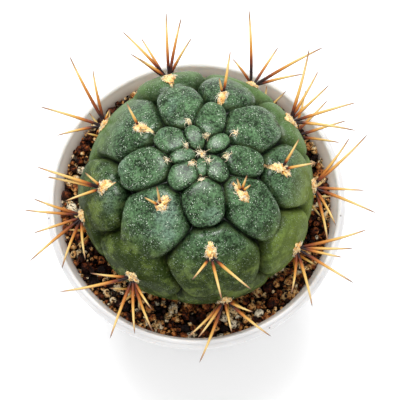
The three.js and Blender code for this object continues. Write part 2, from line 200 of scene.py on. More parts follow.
def startDisc(name, sides, radius, height=0):
    # a round face in edit mode, from which a form is drawn or turned
    bpy.ops.mesh.primitive_circle_add(vertices=sides, radius=radius, fill_type="NGON",
                                      location=(0, 0, height))
    disc = takeNew(name)
    applyPlace(disc)
    startEditing(disc)
    return disc


def drawOn(rise, share, **pivot):
    # what is selected is drawn on along Z, and its new end is made this much wider
    bpy.ops.mesh.extrude_region_move(TRANSFORM_OT_translate={"value": (0, 0, rise)})
    bpy.ops.transform.resize(value=(share, share, 1), **pivot)


def finishEditing():
    bpy.ops.mesh.select_all(action="SELECT")
    bpy.ops.mesh.normals_make_consistent(inside=False)
    bpy.ops.object.mode_set(mode="OBJECT")


def smooth(piece, angle=180):
    makeActive(piece)
    if angle >= 180:
        bpy.ops.object.shade_smooth()
    else:
        bpy.ops.object.shade_smooth_by_angle(angle=math.radians(angle))


def places(piece):
    spots = np.empty(len(piece.data.vertices) * 3)
    piece.data.vertices.foreach_get("co", spots)
    return spots.reshape(-1, 3)


def movePlaces(piece, spots):
    piece.data.vertices.foreach_set("co", np.ascontiguousarray(spots, dtype=np.float32).ravel())
    piece.data.update()


def unitRows(rows):
    return rows / np.linalg.norm(rows, axis=1)[:, None]


def moved(spots, matrix):
    turn = np.array(matrix)
    return spots @ turn[:3, :3].T + turn[:3, 3]


def writeAttribute(mesh, name, values):
    layer = mesh.attributes.new(name, "FLOAT", "POINT")
    layer.data.foreach_set("value", np.ascontiguousarray(values, dtype=np.float32))


def facesOf(model):
    return [tuple(face.vertices) for face in model.data.polygons]


def joinCopies(name, parts, attributes):
    # parts are pairs of places and faces, each from one copied model
    spots, faces, count = [], [], 0
    for partSpots, partFaces in parts:
        spots.append(partSpots)
        faces += [tuple(count + k for k in face) for face in partFaces]
        count += len(partSpots)
    mesh = bpy.data.meshes.new(name)
    mesh.from_pydata(np.concatenate(spots).tolist(), [], faces)
    piece = bpy.data.objects.new(name, mesh)
    scene.collection.objects.link(piece)
    for key, values in attributes.items():
        writeAttribute(mesh, key, np.concatenate(values))
    return piece


def lumpsOn(spots, layers, origin):
    # soft noise at these places, in layers of a scale and an amount
    total = np.zeros(len(spots))
    for scale, amount in layers:
        total += amount * np.array([noise.noise(Vector(spot) * scale + origin) for spot in spots])
    return total


def dress(piece, material, nodes):
    piece.data.materials.clear()
    piece.data.materials.append(material)
    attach(piece, "root")
    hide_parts(*nodes)


# Shader maths, written as sums of sockets

class Wire:
    def __init__(self, board, socket):
        self.board = board
        self.socket = socket

    def maths(self, operation, *values, clamp=False):
        return self.board.node("ShaderNodeMath", dict(operation=operation, use_clamp=clamp), values)

    def __add__(self, other):
        return self.maths("ADD", self, other)

    __radd__ = __add__

    def __sub__(self, other):
        return self.maths("SUBTRACT", self, other)

    def __rsub__(self, other):
        return self.maths("SUBTRACT", other, self)

    def __mul__(self, other):
        return self.maths("MULTIPLY", self, other)

    __rmul__ = __mul__

    def __truediv__(self, other):
        return self.maths("DIVIDE", self, other)

    def clipped(self):
        # held between 0 and 1
        return self.maths("ADD", self, 0.0, clamp=True)

    def above(self, low, high):
        # 0 below low, 1 over high, eased between
        settings = dict(interpolation_type="SMOOTHSTEP")
        return self.board.node("ShaderNodeMapRange", settings, {0: self, 1: low, 2: high, 3: 0.0, 4: 1.0})


class Board:
    def __init__(self, name):
        self.material = bpy.data.materials.new(name)
        self.material.use_nodes = True
        self.tree = self.material.node_tree
        self.tree.nodes.clear()

    def node(self, kind, settings=None, values=(), out=0):
        new = self.tree.nodes.new(kind)
        for key, value in (settings or {}).items():
            if key == "stops":
                self.setStops(new.color_ramp, value)
            else:
                setattr(new, key, value)
        pairs = values.items() if isinstance(values, dict) else enumerate(values)
        for key, value in pairs:
            if isinstance(value, Wire):
                self.tree.links.new(value.socket, new.inputs[key])
            else:
                new.inputs[key].default_value = value
        return Wire(self, new.outputs[out]) if new.outputs else new

    def setStops(self, ramp, stops):
        while len(ramp.elements) < len(stops):
            ramp.elements.new(1.0)
        for element, (position, colour) in zip(ramp.elements, stops):
            element.position = position
            element.color = (*colour, 1.0)

    def place(self):
        return self.node("ShaderNodeTexCoord", out=3)

    def attribute(self, name):
        return self.node("ShaderNodeAttribute", dict(attribute_name=name), out=2)

    def along(self, axis):
        # how far along X, Y or Z, in metres
        return self.node("ShaderNodeSeparateXYZ", None, [self.place()], out="XYZ".index(axis))

    def noise(self, scale, detail, roughness):
        values = {"Vector": self.place(), "Scale": scale, "Detail": detail, "Roughness": roughness}
        return self.node("ShaderNodeTexNoise", None, values)

    def cells(self, scale):
        # how far each place lies from the middle of its small cell
        return self.node("ShaderNodeTexVoronoi", None, {"Vector": self.place(), "Scale": scale})

    def cellDraw(self, scale):
        # a number between 0 and 1 for each of those cells
        colour = self.node("ShaderNodeTexVoronoi", None, {"Vector": self.place(), "Scale": scale}, out=1)
        return self.node("ShaderNodeSeparateColor", None, [colour])

    def ramp(self, factor, stops):
        return self.node("ShaderNodeValToRGB", dict(stops=stops), [factor])

    def mix(self, first, second, factor):
        first, second = [(*c, 1.0) if isinstance(c, tuple) else c for c in (first, second)]
        settings = dict(data_type="RGBA")
        return self.node("ShaderNodeMix", settings, {0: factor, 6: first, 7: second}, out=2)

    def bump(self, height, strength, distance):
        values = {"Strength": strength, "Distance": distance, "Height": height}
        return self.node("ShaderNodeBump", None, values)

    def finish(self, **values):
        # values are named as the shader's sockets are, with _ for a space
        named = {key.replace("_", " "): value for key, value in values.items()}
        shader = self.node("ShaderNodeBsdfPrincipled", None, named)
        self.node("ShaderNodeOutputMaterial", None, [shader])
        return self.material


# The camera, the table and the light

def direction(heading, polar):
    h, p = np.radians(heading), np.radians(polar)
    return np.stack(np.broadcast_arrays(np.sin(p) * np.cos(h), np.sin(p) * np.sin(h), np.cos(p)), -1)


def placeCamera():
    back = Vector(direction(view["azimuth"] - 90, 90 - view["elevation"]))
    bpy.ops.object.camera_add()
    camera = bpy.context.object
    camera.name = "camera"
    camera.location = Vector(view["target"]) + back * view["distance"]
    camera.rotation_euler = (-back).to_track_quat("-Z", "Y").to_euler()
    camera.data.lens = view["lens"]
    camera.data.sensor_width = view["sensor"]
    camera.data.clip_start = view["nearest"]
    scene.camera = camera


light = dict(
    sky=(1, 1, 1, 1),
    skyStrength=0.88,
    keyPower=8.5,
    keySize=0.45,
    keyPlace=(-0.05, 0.26, 0.93),
    table=(0.90, 0.90, 0.90, 1),
    tableGlow=0.15,
    tableSize=6,
    tableTop=-0.0001,
)


def placeLight():
    world = bpy.data.worlds.new("white room")
    world.use_nodes = True
    sky = world.node_tree.nodes["Background"]
    sky.inputs["Color"].default_value = light["sky"]
    sky.inputs["Strength"].default_value = light["skyStrength"]
    scene.world = world
    bpy.ops.object.light_add(type="AREA", location=light["keyPlace"])
    key = bpy.context.object
    key.name = "keyLight"
    key.data.energy = light["keyPower"]
    key.data.size = light["keySize"]
    toPlant = Vector(plant["centre"]) - Vector(light["keyPlace"])
    key.rotation_euler = toPlant.to_track_quat("-Z", "Y").to_euler()
    scene.view_settings.view_transform = "Standard"


def makeTable():
    bpy.ops.mesh.primitive_plane_add(size=light["tableSize"], location=(0, 0, light["tableTop"]))
    table = takeNew("table")
    white = Board("tableWhite").finish(
        Base_Color=light["table"],
        Roughness=0.9,
        Emission_Color=light["sky"],
        Emission_Strength=light["tableGlow"],
    )
    table.data.materials.append(white)


clearSelection()
placeCamera()
placeLight()
makeTable()
print("camera, light and table are in place")


# The plant's skin

def smoothstep(value, low, high):
    share = np.clip((value - low) / (high - low), 0, 1)
    return share * share * (3 - 2 * share)


def tubercleCells():
    cells = []
    for number, rib in enumerate(ribs.values()):
        for step, (upper, lower) in enumerate(zip(rib["creases"], rib["creases"][1:])):
            polar = (upper + lower) / 2
            heading = rib["heading"] + rib["turn"] * polar
            halfLength = math.radians(lower - upper) / 2
            ribWidth = math.sin(math.radians(polar)) * math.pi / plant["ribCount"]
            halfWidth = max(ribWidth, plant["leastBreadth"] * halfLength)
            halfWidth *= rib.get("breadths", {}).get(step, 1)
            cells.append(dict(
                rib=number,
                middle=direction(heading, polar),
                down=direction(heading, polar + 90) / halfLength,
                side=direction(heading + 90, 90) / halfWidth,
                through=direction(heading, polar) / halfLength,
            ))
    return cells


cells = tubercleCells()


def swelling(units, polar, sharpness):
    # 1 on the middle of a tubercle, 0 along a crease; older ones merge down their rib and grow a chin
    count = len(units)
    total = np.zeros(count)
    ribTotals = np.zeros((plant["ribCount"], count))
    nearest = np.full(count, np.inf)
    chin = np.zeros(count)
    for cell in cells:
        offset = units - cell["middle"]
        down = offset @ cell["down"]
        distance = np.sqrt(down**2 + (offset @ cell["side"])**2 + (offset @ cell["through"])**2)
        distance = np.maximum(distance, 0.02)
        weight = distance ** -sharpness
        total += weight
        ribTotals[cell["rib"]] += weight
        closer = distance < nearest
        nearest = np.where(closer, distance, nearest)
        chin = np.where(closer, np.clip(down, -1, 1), chin)
    pillow = np.maximum(2 * nearest ** -sharpness / total - 1, plant["creaseBottom"])
    ribPillow = np.maximum(2 * ribTotals.max(0) / total - 1, plant["creaseBottom"])
    merged = smoothstep(polar, *plant["mergeAt"])
    rounded = pillow + (ribPillow - pillow) * plant["pillowMerge"] * merged
    dome = 1 - np.minimum(nearest, 1.25) ** 2
    dome = dome + (np.maximum(rounded, 0) - dome) * plant["domeMerge"] * merged
    chin = chin * smoothstep(polar, *plant["ripeAt"]) * np.maximum(pillow, 0)
    swell = plant["pillowShare"] * rounded + plant["domeShare"] * dome + plant["chinShare"] * chin
    drawnIn = np.array([rib.get("drawnIn", 0) for rib in ribs.values()]) * mm
    return swell, drawnIn @ ribTotals / total


def notches(units):
    depth = np.zeros(len(units))
    for letter, top, bottom, deep in plant["notches"]:
        rib = ribs[letter]
        ends = [direction(rib["heading"] + rib["turn"] * polar, polar) for polar in (top, bottom)]
        line = ends[1] - ends[0]
        share = np.clip((units - ends[0]) @ line / (line @ line), 0, 1)
        away = np.linalg.norm(units - ends[0] - share[:, None] * line, axis=1) * plant["radius"]
        depth += deep * (1 - plant["notchFade"] * share) * np.exp(-((away / plant["notchWidth"]) ** 2))
    return depth


def skinPlaces(units, sharpness=plant["creaseSharpness"]):
    # points of the skin in the plant's own frame, with how far each stands up and its polar angle
    polar = np.degrees(np.arccos(np.clip(units[:, 2], -1, 1)))
    shown = 1 - smoothstep(polar, *plant["buriedAt"])
    crownCrease, flankCrease, lowCrease = plant["creases"]
    crease = crownCrease + (flankCrease - crownCrease) * smoothstep(polar, *plant["flankAt"])
    crease = crease + (lowCrease - crease) * smoothstep(polar, *plant["lowAt"])
    dimple = plant["crownDimple"] * np.exp(-((polar / plant["dimpleWidth"]) ** 2))
    swell, drawnIn = swelling(units, polar, sharpness)
    depth = dimple + drawnIn * smoothstep(polar, *plant["drawnInAt"])
    raised = swell
    if sharpness == plant["creaseSharpness"]:
        # the fine skin bulges: its tubercles are steeper at their foot and broader on top
        raised = np.where(swell > 0, 1 - (1 - np.clip(swell, 0, 1)) ** plant["bulge"], swell)
        seam = plant["seamDepth"] * np.exp(-((np.maximum(swell, 0) / plant["seamWidth"]) ** 2))
        depth = depth + seam * shown * smoothstep(polar, *plant["seamAt"]) + notches(units)
    depth = depth + crease * shown * (1 - raised)
    scale = 1 - depth / plant["radius"]
    spots = units * scale[:, None] * (plant["radius"], plant["radius"], plant["halfHeight"])
    return spots, swell, polar


def toWorld(spots):
    return moved(spots, plantMatrix)


def areoleSeat(rib, polar, sharpness=plant["creaseSharpness"]):
    heading = rib["heading"] + rib["turn"] * polar
    stepDown = 2.5
    stepAcross = stepDown / math.sin(math.radians(polar))
    probes = np.array([
        direction(heading, polar),
        direction(heading + stepAcross, polar), direction(heading - stepAcross, polar),
        direction(heading, polar + stepDown), direction(heading, polar - stepDown),
    ])
    spots = skinPlaces(probes, sharpness)[0]
    along = Vector(spots[3] - spots[4]).normalized()
    normal = along.cross(Vector(spots[1] - spots[2])).normalized()
    return dict(heading=heading, place=Vector(spots[0]), normal=normal, along=along)


skinLook = dict(
    # the near-black green of the painted shade in the creases
    creaseShadeGreen=(0.001, 0.004, 0.001),
    green=(0.006, 0.020, 0.004),
    paleGreen=(0.108, 0.218, 0.096),
    freshGreen=(0.115, 0.200, 0.065),
    edge=(0.125, 0.130, 0.040),
    lowGreen=(0.015, 0.028, 0.002),
    lowPale=(0.140, 0.195, 0.036),
    # the pale bloom, partly a painted sheen
    bloomAndSheen=(0.30, 0.42, 0.38),
    fleck=(0.72, 0.85, 0.66),
    fleckScales=[1500, 2100, 2900],
    crowdScale=420,
    mottleScale=260,
    patchScale=60,
    grainScale=1500,
    # polar angles over which the skin stops being young, and over which it turns old
    youngTo=(38, 70),
    oldFrom=(42, 66),
    # the sides on which the flank is paler, in metres along X, and on which it stays green, along Y
    paleSide=(0.012, 0.032),
    greenSide=(-0.004, 0.018),
)


def skinMaterial():
    look = skinLook
    board = Board("cactusSkin")
    swell = board.attribute("swell")
    polar = board.attribute("polar")
    mottle = board.noise(look["mottleScale"], 4, 0.65)
    patches = board.noise(look["patchScale"], 3, 0.55)
    grain = board.noise(look["grainScale"], 3, 0.7)
    young = 1 - polar.above(*look["youngTo"])
    old = (polar.above(*look["oldFrom"]) * (0.55 + 0.9 * patches)).clipped()
    granules = grain.above(0.38, 0.64) * (0.45 + 0.55 * young)
    pale = (0.66 * granules + 2.1 * (mottle - 0.46)).clipped()
    upper = board.mix(look["green"], look["paleGreen"], pale)
    east = board.along("X").above(*look["paleSide"])
    blotches = mottle.above(0.44, 0.68) * 0.65 + 0.28 * granules + 0.65 * east
    lower = board.mix(look["lowGreen"], look["lowPale"], blotches.clipped())
    fresh = board.along("Y").above(*look["greenSide"]) * (0.35 + 0.9 * mottle)
    lower = board.mix(lower, look["freshGreen"], fresh.clipped())
    green = board.mix(upper, lower, old)
    # brownish towards the creases, in places
    edge = (1 - swell.above(0.20, 0.55)) * mottle.above(0.44, 0.58)
    green = board.mix(green, look["edge"], 0.35 * edge)
    # a pale waxy bloom on top of some young tubercles, partly a painted sheen of the light above
    bloomAndSheen = swell.above(0.45, 0.90) * patches.above(0.54, 0.66) * young
    bloomAndSheen = 0.24 * bloomAndSheen * (grain.above(0.36, 0.58) + mottle - 0.2)
    green = board.mix(green, look["bloomAndSheen"], bloomAndSheen.clipped())
    # white flecks, in crowds: one dot in each small cell, of a size that the cell draws
    crowd = board.noise(look["crowdScale"], 3, 0.6).above(0.40, 0.56)
    crowd = crowd * swell.above(0.15, 0.45) * (0.22 + 0.78 * young)
    flecks = 0.0
    for scale in look["fleckScales"]:
        draw = board.cellDraw(scale)
        dots = 1 - (board.cells(scale) / (0.09 + 0.26 * draw)).above(0.55, 1.0)
        flecks = flecks + dots * crowd * draw.above(0.20, 0.45)
    flecks = flecks.clipped()
    green = board.mix(green, look["fleck"], 0.85 * flecks)
    # painted shade: dark in the creases, and a little darker down the sides of each tubercle
    shade = 0.50 * (1 - swell.above(-0.05, 0.30)) + 0.47 * (1 - swell.above(0.10, 0.90))
    green = board.mix(green, look["creaseShadeGreen"], shade)
    height = 0.7 * grain + 0.8 * mottle + 0.6 * flecks
    return board.finish(
        Base_Color=green,
        Roughness=0.42 + 0.22 * mottle + 0.2 * old,
        Specular_IOR_Level=0.02,
        Coat_Weight=((0.30 + 0.6 * mottle) * (0.3 + 0.7 * young)).clipped(),
        Coat_Roughness=0.25,
        Coat_IOR=1.42,
        Normal=board.bump(height, 0.9, 0.0007),
    )


def makeCactus():
    bpy.ops.mesh.primitive_uv_sphere_add(segments=plant["columns"], ring_count=plant["rows"], radius=1)
    cactus = takeNew("cactus")
    units = unitRows(places(cactus))
    # the rows are drawn up out of the buried part, where nothing shows
    seen, seenRows = plant["seenTo"], plant["seenRows"]
    row = np.degrees(np.arccos(np.clip(units[:, 2], -1, 1))) / 180
    above = seen * (row / seenRows) ** plant["rowSpread"]
    below = seen + (180 - seen) * (row - seenRows) / (1 - seenRows)
    heading = np.degrees(np.arctan2(units[:, 1], units[:, 0]))
    units = direction(heading, np.where(row < seenRows, above, below))
    spots, swell, polar = skinPlaces(units)
    # taproot: the underside is drawn down into the soil
    across = np.hypot(spots[:, 0], spots[:, 1])
    under = (polar > plant["rootFrom"]) & (across < plant["rootRadius"])
    share = np.where(under, 1 - across / plant["rootRadius"], 0)
    rootPlaces = -plant["halfHeight"] - plant["rootLength"] * share ** 0.7
    spots[:, 2] = np.where(under, rootPlaces, spots[:, 2])
    spots[:, :2] *= np.where(under, 0.55 + 0.45 * (1 - share), 1)[:, None]
    wobble = lumpsOn(spots, plant["wobble"], Vector()) * smoothstep(swell, 0.1, 0.6)
    spots += units * wobble[:, None]
    movePlaces(cactus, toWorld(spots))
    writeAttribute(cactus.data, "swell", swell)
    writeAttribute(cactus.data, "polar", polar)
    smooth(cactus)
    dress(cactus, skinMaterial(), ["cactus_body"])


makeCactus()
print("the cactus body is shaped")


# Spines

spine = dict(
    radius=0.00044,
    rootHeight=0.0003,
    rootSpread=0.00055,
    bow=0.06,
    # its form: how wide its foot is, where it is fullest, how fast it tapers and how wide its point is
    footWidth=0.85,
    fullest=0.25,
    taper=0.42,
    pointWidth=0.03,
    sides=10,
    rings=14,
    # a tip this near the frame's own, seen along the plant's axis, is the same one
    nearTip=0.0002,
    # the way that a spine's redder side faces, away from the light: partly its own colour, partly painted
    # shade
    redSide=(0.5, -0.85, -0.15),
)
spineLook = dict(
    # the colours up a spine, by its tone: dark foot, red-brown, amber, straw, then a brown point
    stops=[
        (0.0, (0.006, 0.002, 0.003)),
        (0.18, (0.016, 0.004, 0.004)),
        (0.28, (0.17, 0.032, 0.005)),
        (0.40, (0.44, 0.16, 0.024)),
        (0.55, (0.60, 0.36, 0.090)),
        (0.72, (0.65, 0.48, 0.19)),
        (0.88, (0.30, 0.16, 0.085)),
        (1.0, (0.050, 0.028, 0.022)),
    ],
    # the red-brown of that side, partly painted shade
    red=(0.26, 0.070, 0.010),
    # how far up a spine its dark foot and its amber part reach, for younger and for older areoles
    young=(0.11, 0.28),
    old=(0.11, 0.42),
    own={"d3": (0.19, 0.50), "e3": (0.17, 0.52), "f3": (0.15, 0.48), "g3": (0.15, 0.46), "e2": (0.15, 0.48)},
)


def spineTones(share, place, drawn):
    # the tone at each share of a spine's length, with its dark foot, amber part and point drawn by lot
    dark, amber = spineLook["own"].get(place, spineLook["young" if place[1] == "2" else "old"])
    dark *= 0.5 + drawn
    amber = dark + (amber - dark) * (0.6 + 0.8 * random.random())
    point = 0.87 - 0.10 * random.random()
    return np.interp(share, [0, dark, amber, (amber + point) / 2, point, 1], [0, 0.20, 0.48, 0.66, 0.80, 1])


def spineMaterial():
    board = Board("spineHorn")
    tone = board.attribute("tone")
    streaks = board.noise(900, 3, 0.6)
    colour = board.ramp((tone + 0.10 * (streaks - 0.5)).clipped(), spineLook["stops"])
    # redder on one side, partly its own colour and partly painted shade away from the light, but not at its
    # foot or point
    red = board.attribute("redSide").above(0.35, 0.95) * tone.above(0.25, 0.40) * (1 - tone.above(0.80, 0.95))
    colour = board.mix(colour, spineLook["red"], 0.75 * red)
    return board.finish(
        Base_Color=colour,
        Roughness=0.36 + 0.2 * streaks,
        Specular_IOR_Level=0.25,
        Normal=board.bump(streaks, 0.2, 0.0002),
        Subsurface_Weight=0.15,
        Subsurface_Radius=(0.0010, 0.0005, 0.0002),
        Subsurface_Scale=1.0,
    )


def modelSpine():
    # an awl one unit long on +Z: a ring drawn out step by step, fullest a quarter of the way up
    footWidth, fullest = spine["footWidth"], spine["fullest"]
    awl = startDisc("awl", spine["sides"], footWidth)
    width = footWidth
    for ring in range(1, spine["rings"] + 1):
        share = ring / spine["rings"]
        swollen = footWidth + 0.20 * math.sin(math.pi / 2 * min(share / fullest, 1)) ** 2
        tapered = (1 - max(share - fullest, 0) / (1 - fullest)) ** spine["taper"]
        newWidth = max(swollen * tapered, spine["pointWidth"])
        drawOn(1 / spine["rings"], newWidth / width)
        width = newWidth
    finishEditing()
    return awl


def bendAlong(awlSpots, root, tip, normal, radius):
    # the awl bowed from root to tip, with how far each of its points faces the redder side, where shade is
    # painted
    share = awlSpots[:, 2:3]
    chord = np.array(tip - root)
    length = np.linalg.norm(chord)
    middle = np.array(root) + chord / 2 + np.array(normal) * length * spine["bow"]
    path = (1 - share) ** 2 * np.array(root) + 2 * share * (1 - share) * middle + share**2 * np.array(tip)
    turn = np.array(Vector((0, 0, 1)).rotation_difference(Vector(chord)).to_matrix())
    section = np.column_stack([awlSpots[:, :2] * radius, np.zeros(len(awlSpots))]) @ turn.T
    facing = section @ np.array(spine["redSide"]) / np.maximum(np.linalg.norm(section, axis=1), 1e-9)
    return path + section, facing


def tipInFrame(nodeName, seat, turnAway, reach):
    # the frame's node says how far the spine was lifted to clear its neighbours
    heading = math.radians(seat["heading"] + turnAway)
    wanted = np.array(seat["place"]) + reach * mm * np.array((math.cos(heading), math.sin(heading), 0))
    spots = moved(places(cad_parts[nodeName]), plantMatrix.inverted())
    gaps = np.hypot(spots[:, 0] - wanted[0], spots[:, 1] - wanted[1])
    closest = int(gaps.argmin())
    if gaps[closest] > spine["nearTip"]:
        return None
    return Vector((wanted[0], wanted[1], spots[closest, 2]))


def makeSpines(awl, material, place, frameSeat, seat):
    random.seed("spines " + place)
    awlSpots = places(awl)
    normal = seat["normal"]
    parts, tones, redShadedSides = [], [], []
    for turnAway, reach in spineTips.get(place, lowSpineTips):
        tip = tipInFrame("areole_" + place, frameSeat, turnAway, reach)
        drawn = random.random()
        if tip is None:
            print("no spine in the frame for", place, turnAway)
            continue
        away = tip - seat["place"]
        flat = away - normal * away.dot(normal)
        root = seat["place"] + normal * spine["rootHeight"] + flat.normalized() * spine["rootSpread"]
        # a long spine is stouter than a short one
        radius = spine["radius"] * (0.84 + 0.24 * (away.length / mm - 6) / 16)
        spots, facing = bendAlong(awlSpots, root, tip, normal, radius)
        parts.append((toWorld(spots), facesOf(awl)))
        tones.append(spineTones(awlSpots[:, 2], place, drawn))
        redShadedSides.append(facing)
    piece = joinCopies("spines_" + place, parts, dict(tone=tones, redSide=redShadedSides))
    smooth(piece, 60)
    dress(piece, material, ["areole_" + place])


# Felt of the areoles and wool of the crown

felt = dict(
    # in millimetres: length along the rib, width across it, height, and how far the middle lies towards
    # the crown
    young=(4.4, 2.8, 0.85, 1.0),
    old=(4.6, 3.6, 1.0, 0.5),
    own={
        "a2": (5.0, 2.6, 0.9, 1.5),
        "c2": (4.8, 3.0, 0.9, 1.0),
        "d2": (5.4, 2.4, 0.8, 1.2),
        "e2": (5.2, 3.5, 0.9, 1.5),
        "f2": (5.4, 1.9, 0.8, 1.2),
        "g2": (5.6, 4.2, 0.9, 1.2),
        "h2": (7.4, 2.6, 0.9, 0.6),
        "i2": (5.8, 2.2, 0.7, 0.2),
    },
    # the same of the youngest tubercles' tufts, but some lie further into the crease above them
    tuft=(0.8, 0.45, 0.15),
    tuftShift=0.9,
    tuftShifts=dict(c=1.8, e=1.3, f=2.0),
    crown=(1.6, 1.0, 0.3, 0.0),
    # how much narrower a cushion is at its inner end, how much lower there, and its lumps
    fan=0.42,
    slope=0.3,
    lumps=[(1.9, 0.308), (4.3, 0.476), (9.0, 0.336)],
    # how many hairs, their length and width in millimetres, how far they are combed outwards, and how
    # white they are
    hairs=dict(count=80, length=(0.6, 1.7), width=0.085, comb=0.7, tone=(0.70, 1.0)),
    tuftHairs=dict(count=20, length=(0.7, 2.2), width=0.085, comb=0.3, tone=(0.15, 0.95)),
    crownHairs=dict(count=34, length=(0.8, 2.4), width=0.095, comb=0.0, tone=(0.15, 0.95)),
    # the steps in which a hair winds, and how wide it still is after each
    hairSteps=(0.9, 0.85, 0.8, 0.7, 0.2),
)
feltLook = dict(
    pale=(0.90, 0.70, 0.34),
    amber=(0.72, 0.33, 0.060),
    dark=(0.05, 0.018, 0.007),
    white=(0.88, 0.84, 0.66),
    # how much of the amber shows in the areoles' felt and in the young wool
    amberShare=0.85,
    youngAmberShare=0.75,
    fluffScale=1500,
    patchScale=700,
)


def feltMaterial(name, share):
    board = Board(name)
    fluff = board.noise(feltLook["fluffScale"], 3, 0.65)
    patches = board.noise(feltLook["patchScale"], 3, 0.6)
    amber = (patches.above(0.42, 0.60) * share).clipped()
    colour = board.mix(feltLook["pale"], feltLook["amber"], amber)
    colour = board.mix(colour, feltLook["dark"], 0.9 * (1 - fluff.above(0.36, 0.45)))
    # the hairs are whiter than the felt that they stand in
    colour = board.mix(colour, feltLook["white"], board.attribute("tone"))
    return board.finish(
        Base_Color=colour,
        Roughness=0.9,
        Sheen_Weight=0.2,
        Sheen_Roughness=0.5,
        Normal=board.bump(fluff + patches, 0.8, 0.0004),
    )


def modelCushion():
    bpy.ops.mesh.primitive_ico_sphere_add(subdivisions=4, radius=1)
    return takeNew("cushion")


def modelCurl():
    # a hair one unit long on +Z: three sides, drawn out step by step to a point
    curl = startDisc("curl", 3, 1)
    for share in felt["hairSteps"]:
        drawOn(1 / len(felt["hairSteps"]), share)
    finishEditing()
    return curl


def onSkin(spots):
    # the points of the skin under these ones
    units = unitRows(spots / (plant["radius"], plant["radius"], plant["halfHeight"]))
    return skinPlaces(units)[0]


def curlPath(start, heading, length):
    # a hair that winds over the skin, as offsets along the rib, across it and above the skin
    points = [start]
    steps = len(felt["hairSteps"])
    step = length / steps
    rise = random.uniform(0.1, 0.5)
    curling = random.choice((-1, 1)) * random.uniform(0.1, 0.9)
    for number in range(steps):
        heading += curling + random.uniform(-0.5, 0.5)
        along, across, above = points[-1]
        # it rises first, then falls, but not into the skin
        above = max(above + step * rise * (0.8 - 0.45 * number), 0.06 * mm)
        points.append((along + step * math.cos(heading), across + step * math.sin(heading), above))
    return np.array(points)


def makeFelt(models, material, place, name, node, seat, size, hairs):
    cushion, curl = models
    random.seed("felt " + place)
    normal = np.array(seat["normal"])
    side = np.cross(normal, np.array(seat["along"]))
    side /= np.linalg.norm(side)
    towardsCrown = np.cross(normal, side)
    length, width, height, shift = (value * mm for value in size)

    def laid(offsets):
        # offsets towards the crown, across the rib and above the skin, turned into places
        flat = np.array(seat["place"]) + offsets[:, :1] * towardsCrown + offsets[:, 1:2] * side
        return onSkin(flat) + offsets[:, 2:3] * normal

    # the cushion: a fan, broad at its outer end, with its wool in lumps
    unit = places(cushion)
    origin = Vector([random.uniform(0, 50) for _ in range(3)])
    lumps = lumpsOn(unit, felt["lumps"], origin)
    shaped = unit * (1 + lumps)[:, None] * (length / 2, width / 2, height)
    shaped[:, 1] *= 1 - felt["fan"] * np.clip(unit[:, 0], -0.6, 1)
    shaped[:, 2] *= 1 - felt["slope"] * unit[:, 0]
    shaped[:, 0] += shift
    parts = [(toWorld(laid(shaped)), facesOf(cushion))]
    tones = [np.zeros(len(unit))]
    model = places(curl)
    rings = np.rint(model[:, 2] * len(felt["hairSteps"])).astype(int)
    for _ in range(hairs["count"]):
        # more hairs stand at the outer end than at the crown's
        heading = math.pi + random.uniform(-1, 1) * random.uniform(0.4, 1) * math.pi
        reach = random.uniform(0.45, 1.0)
        along = shift + math.cos(heading) * length / 2 * reach
        across = math.sin(heading) * width / 2 * reach * (1 - felt["fan"] * math.cos(heading))
        above = height * (1 - reach) * 1.3 + 0.1 * mm
        # most hairs are combed outwards, away from the crown
        towards = math.atan2(math.sin(heading), math.cos(heading) - hairs["comb"])
        path = laid(curlPath((along, across, above), towards, mm * random.uniform(*hairs["length"])))
        # two directions square to the hair at each of its steps
        leap = unitRows(np.gradient(path, axis=0))
        first = unitRows(np.cross(leap, normal))
        second = np.cross(leap, first)
        thickness = hairs["width"] * mm * random.uniform(0.6, 1.3)
        spots = path[rings] + thickness * (model[:, :1] * first[rings] + model[:, 1:2] * second[rings])
        parts.append((toWorld(spots), facesOf(curl)))
        tones.append(np.full(len(spots), random.uniform(*hairs["tone"])))
    piece = joinCopies(name, parts, dict(tone=tones))
    smooth(piece)
    dress(piece, material, [node])


def makeAreoles():
    awl = modelSpine()
    models = (modelCushion(), modelCurl())
    horn = spineMaterial()
    feltFinish = feltMaterial("areoleFelt", feltLook["amberShare"])
    woolFinish = feltMaterial("youngWool", feltLook["youngAmberShare"])
    for letter, rib in ribs.items():
        for step, polar in enumerate(rib["areoles"], start=1):
            place = letter + str(step)
            seat = areoleSeat(rib, polar)
            if step == 1:
                size = (*felt["tuft"], felt["tuftShifts"].get(letter, felt["tuftShift"]))
                makeFelt(models, woolFinish, place, "wool_" + place, "wool_tuft_" + place, seat, size,
                         felt["tuftHairs"])
            else:
                size = felt["own"].get(place, felt["young" if step == 2 else "old"])
                makeFelt(models, feltFinish, place, "felt_" + place, "areole_" + place, seat, size,
                         felt["hairs"])
                frameSeat = areoleSeat(rib, polar, plant["frameSharpness"])
                makeSpines(awl, horn, place, frameSeat, seat)
    top = Vector(skinPlaces(np.array([[0.0, 0.0, 1.0]]))[0][0])
    crownSeat = dict(place=top, normal=Vector((0, 0, 1)), along=Vector((0, 1, 0)))
    makeFelt(models, woolFinish, "crown", "wool_crown", "crown_wool", crownSeat, felt["crown"],
             felt["crownHairs"])
    for model in (awl, *models):
        bpy.data.objects.remove(model)


makeAreoles()
print("the spines, the felt and the wool are on")


# Soil and grit

